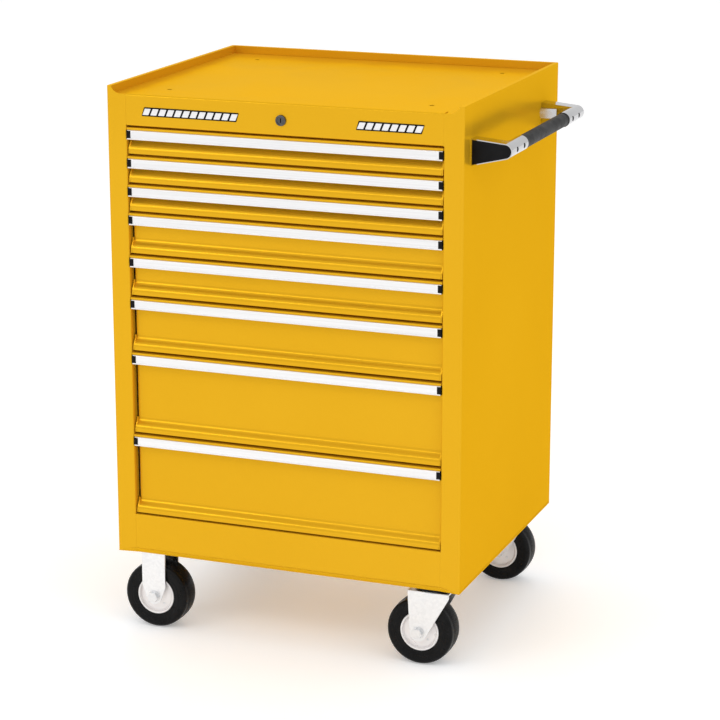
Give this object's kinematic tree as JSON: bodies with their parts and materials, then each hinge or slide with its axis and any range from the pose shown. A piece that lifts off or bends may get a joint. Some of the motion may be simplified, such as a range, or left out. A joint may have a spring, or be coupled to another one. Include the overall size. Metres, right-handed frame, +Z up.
{
  "type": "rolling tool box",
  "caption": "Sheet-steel roller cabinet with full-width drawers on telescopic slides, a front key lock, a side push handle and four wheeled casters.",
  "frame": {"origin": "on the floor, under the middle of the whole outline with its handle", "axes": "+Z up, drawers open towards -Y, push handle on the +X side"},
  "size_m": [0.7471, 0.563, 1.028],
  "materials": {
    "yellow_paint": "gloss powder coat",
    "aluminium_pull": "satin anodised",
    "zinc": "bright zinc plate",
    "black_steel": "black coat",
    "chrome": "polished",
    "black_rubber": "matt",
    "black_plastic": "fine texture",
    "tyre": "moulded rubber",
    "wheel_centre": "pale enamel"
  },
  "bodies": {
    "root": {"side_panel_left": "yellow_paint", "side_panel_right": "yellow_paint", "back_panel": "yellow_paint", "top_rail": "yellow_paint", "bottom_rail": "yellow_paint", "top_deck": "yellow_paint", "floor_pan": "yellow_paint", "caster_channels": "black_steel", "slide_uprights": "zinc", "slide_rails": "zinc", "lock_housing": "chrome", "lock_guides": "zinc", "name_plates": "chrome", "handle_brackets": "chrome", "handle_end_caps": "black_plastic", "handle_tube": "chrome", "handle_grip": "black_rubber", "handle_set_screws": "black_steel", "mounting_bolts": "zinc", "rigid_forks": "zinc", "swivel_plates": "zinc", "rigid_axles": "zinc"},
    "drawer_1": {"drawer_1": "yellow_paint", "drawer_1_pull": "aluminium_pull"},
    "drawer_1_slides": {"drawer_1_slides": "zinc"},
    "drawer_2": {"drawer_2": "yellow_paint", "drawer_2_pull": "aluminium_pull"},
    "drawer_2_slides": {"drawer_2_slides": "zinc"},
    "drawer_3": {"drawer_3": "yellow_paint", "drawer_3_pull": "aluminium_pull"},
    "drawer_3_slides": {"drawer_3_slides": "zinc"},
    "drawer_4": {"drawer_4": "yellow_paint", "drawer_4_pull": "aluminium_pull"},
    "drawer_4_slides": {"drawer_4_slides": "zinc"},
    "drawer_5": {"drawer_5": "yellow_paint", "drawer_5_pull": "aluminium_pull"},
    "drawer_5_slides": {"drawer_5_slides": "zinc"},
    "drawer_6": {"drawer_6": "yellow_paint", "drawer_6_pull": "aluminium_pull"},
    "drawer_6_slides": {"drawer_6_slides": "zinc"},
    "drawer_7": {"drawer_7": "yellow_paint", "drawer_7_pull": "aluminium_pull"},
    "drawer_7_slides": {"drawer_7_slides": "zinc"},
    "drawer_8": {"drawer_8": "yellow_paint", "drawer_8_pull": "aluminium_pull"},
    "drawer_8_slides": {"drawer_8_slides": "zinc"},
    "lock_bar": {"lock_bar": "zinc"},
    "lock_plug": {"lock_plug": "chrome"},
    "swivel_fork_front": {"swivel_fork_front": "zinc", "swivel_axle_front": "zinc"},
    "wheel_front_left": {"wheel_rim_front_left": "wheel_centre", "tyre_front_left": "tyre"},
    "wheel_front_right": {"wheel_rim_front_right": "wheel_centre", "tyre_front_right": "tyre"},
    "swivel_fork_rear": {"swivel_fork_rear": "zinc", "swivel_axle_rear": "zinc"},
    "wheel_rear_left": {"wheel_rim_rear_left": "wheel_centre", "tyre_rear_left": "tyre"},
    "wheel_rear_right": {"wheel_rim_rear_right": "wheel_centre", "tyre_rear_right": "tyre"}
  },
  "joints": [
    {"name": "drawer_1_pulls_out", "type": "slide", "parent": "root", "child": "drawer_1", "axis": [0, -1, 0], "range_m": [0, 0.45]},
    {"name": "drawer_1_slides_follow", "type": "slide", "parent": "root", "child": "drawer_1_slides", "axis": [0, -1, 0], "range_m": [0, 0.225]},
    {"name": "drawer_2_pulls_out", "type": "slide", "parent": "root", "child": "drawer_2", "axis": [0, -1, 0], "range_m": [0, 0.45]},
    {"name": "drawer_2_slides_follow", "type": "slide", "parent": "root", "child": "drawer_2_slides", "axis": [0, -1, 0], "range_m": [0, 0.225]},
    {"name": "drawer_3_pulls_out", "type": "slide", "parent": "root", "child": "drawer_3", "axis": [0, -1, 0], "range_m": [0, 0.45]},
    {"name": "drawer_3_slides_follow", "type": "slide", "parent": "root", "child": "drawer_3_slides", "axis": [0, -1, 0], "range_m": [0, 0.225]},
    {"name": "drawer_4_pulls_out", "type": "slide", "parent": "root", "child": "drawer_4", "axis": [0, -1, 0], "range_m": [0, 0.45]},
    {"name": "drawer_4_slides_follow", "type": "slide", "parent": "root", "child": "drawer_4_slides", "axis": [0, -1, 0], "range_m": [0, 0.225]},
    {"name": "drawer_5_pulls_out", "type": "slide", "parent": "root", "child": "drawer_5", "axis": [0, -1, 0], "range_m": [0, 0.45]},
    {"name": "drawer_5_slides_follow", "type": "slide", "parent": "root", "child": "drawer_5_slides", "axis": [0, -1, 0], "range_m": [0, 0.225]},
    {"name": "drawer_6_pulls_out", "type": "slide", "parent": "root", "child": "drawer_6", "axis": [0, -1, 0], "range_m": [0, 0.45]},
    {"name": "drawer_6_slides_follow", "type": "slide", "parent": "root", "child": "drawer_6_slides", "axis": [0, -1, 0], "range_m": [0, 0.225]},
    {"name": "drawer_7_pulls_out", "type": "slide", "parent": "root", "child": "drawer_7", "axis": [0, -1, 0], "range_m": [0, 0.45]},
    {"name": "drawer_7_slides_follow", "type": "slide", "parent": "root", "child": "drawer_7_slides", "axis": [0, -1, 0], "range_m": [0, 0.225]},
    {"name": "drawer_8_pulls_out", "type": "slide", "parent": "root", "child": "drawer_8", "axis": [0, -1, 0], "range_m": [0, 0.45]},
    {"name": "drawer_8_slides_follow", "type": "slide", "parent": "root", "child": "drawer_8_slides", "axis": [0, -1, 0], "range_m": [0, 0.225]},
    {"name": "lock_bar_drops", "type": "slide", "parent": "root", "child": "lock_bar", "axis": [0, 0, -1], "range_m": [0, 0.0075]},
    {"name": "lock_plug_turns", "type": "hinge", "parent": "root", "child": "lock_plug", "pos_m": [-0.037, 0.0015, 0.985], "axis": [0, 1, 0], "range_deg": [0, 90]},
    {"name": "caster_front_swivels", "type": "hinge", "parent": "root", "child": "swivel_fork_front", "pos_m": [0.239, -0.2345, 0.14], "axis": [0, 0, 1], "continuous": true},
    {"name": "wheel_front_left_rolls", "type": "hinge", "parent": "root", "child": "wheel_front_left", "pos_m": [-0.309, -0.2345, 0.0635], "axis": [0, 1, 0], "continuous": true},
    {"name": "wheel_front_right_rolls", "type": "hinge", "parent": "swivel_fork_front", "child": "wheel_front_right", "pos_m": [0.217, -0.2345, 0.0635], "axis": [0, 1, 0], "continuous": true},
    {"name": "caster_rear_swivels", "type": "hinge", "parent": "root", "child": "swivel_fork_rear", "pos_m": [0.239, 0.2375, 0.14], "axis": [0, 0, 1], "continuous": true},
    {"name": "wheel_rear_left_rolls", "type": "hinge", "parent": "root", "child": "wheel_rear_left", "pos_m": [-0.309, 0.2375, 0.0635], "axis": [0, 1, 0], "continuous": true},
    {"name": "wheel_rear_right_rolls", "type": "hinge", "parent": "swivel_fork_rear", "child": "wheel_rear_right", "pos_m": [0.217, 0.2375, 0.0635], "axis": [0, 1, 0], "continuous": true}
  ],
  "couplings": [
    {"joint": "drawer_1_slides_follow", "follows": "drawer_1_pulls_out", "ratio": 0.5},
    {"joint": "drawer_2_slides_follow", "follows": "drawer_2_pulls_out", "ratio": 0.5},
    {"joint": "drawer_3_slides_follow", "follows": "drawer_3_pulls_out", "ratio": 0.5},
    {"joint": "drawer_4_slides_follow", "follows": "drawer_4_pulls_out", "ratio": 0.5},
    {"joint": "drawer_5_slides_follow", "follows": "drawer_5_pulls_out", "ratio": 0.5},
    {"joint": "drawer_6_slides_follow", "follows": "drawer_6_pulls_out", "ratio": 0.5},
    {"joint": "drawer_7_slides_follow", "follows": "drawer_7_pulls_out", "ratio": 0.5},
    {"joint": "drawer_8_slides_follow", "follows": "drawer_8_pulls_out", "ratio": 0.5},
    {"joint": "lock_plug_turns", "follows": "lock_bar_drops", "rad_per_m": 209.43}
  ]
}
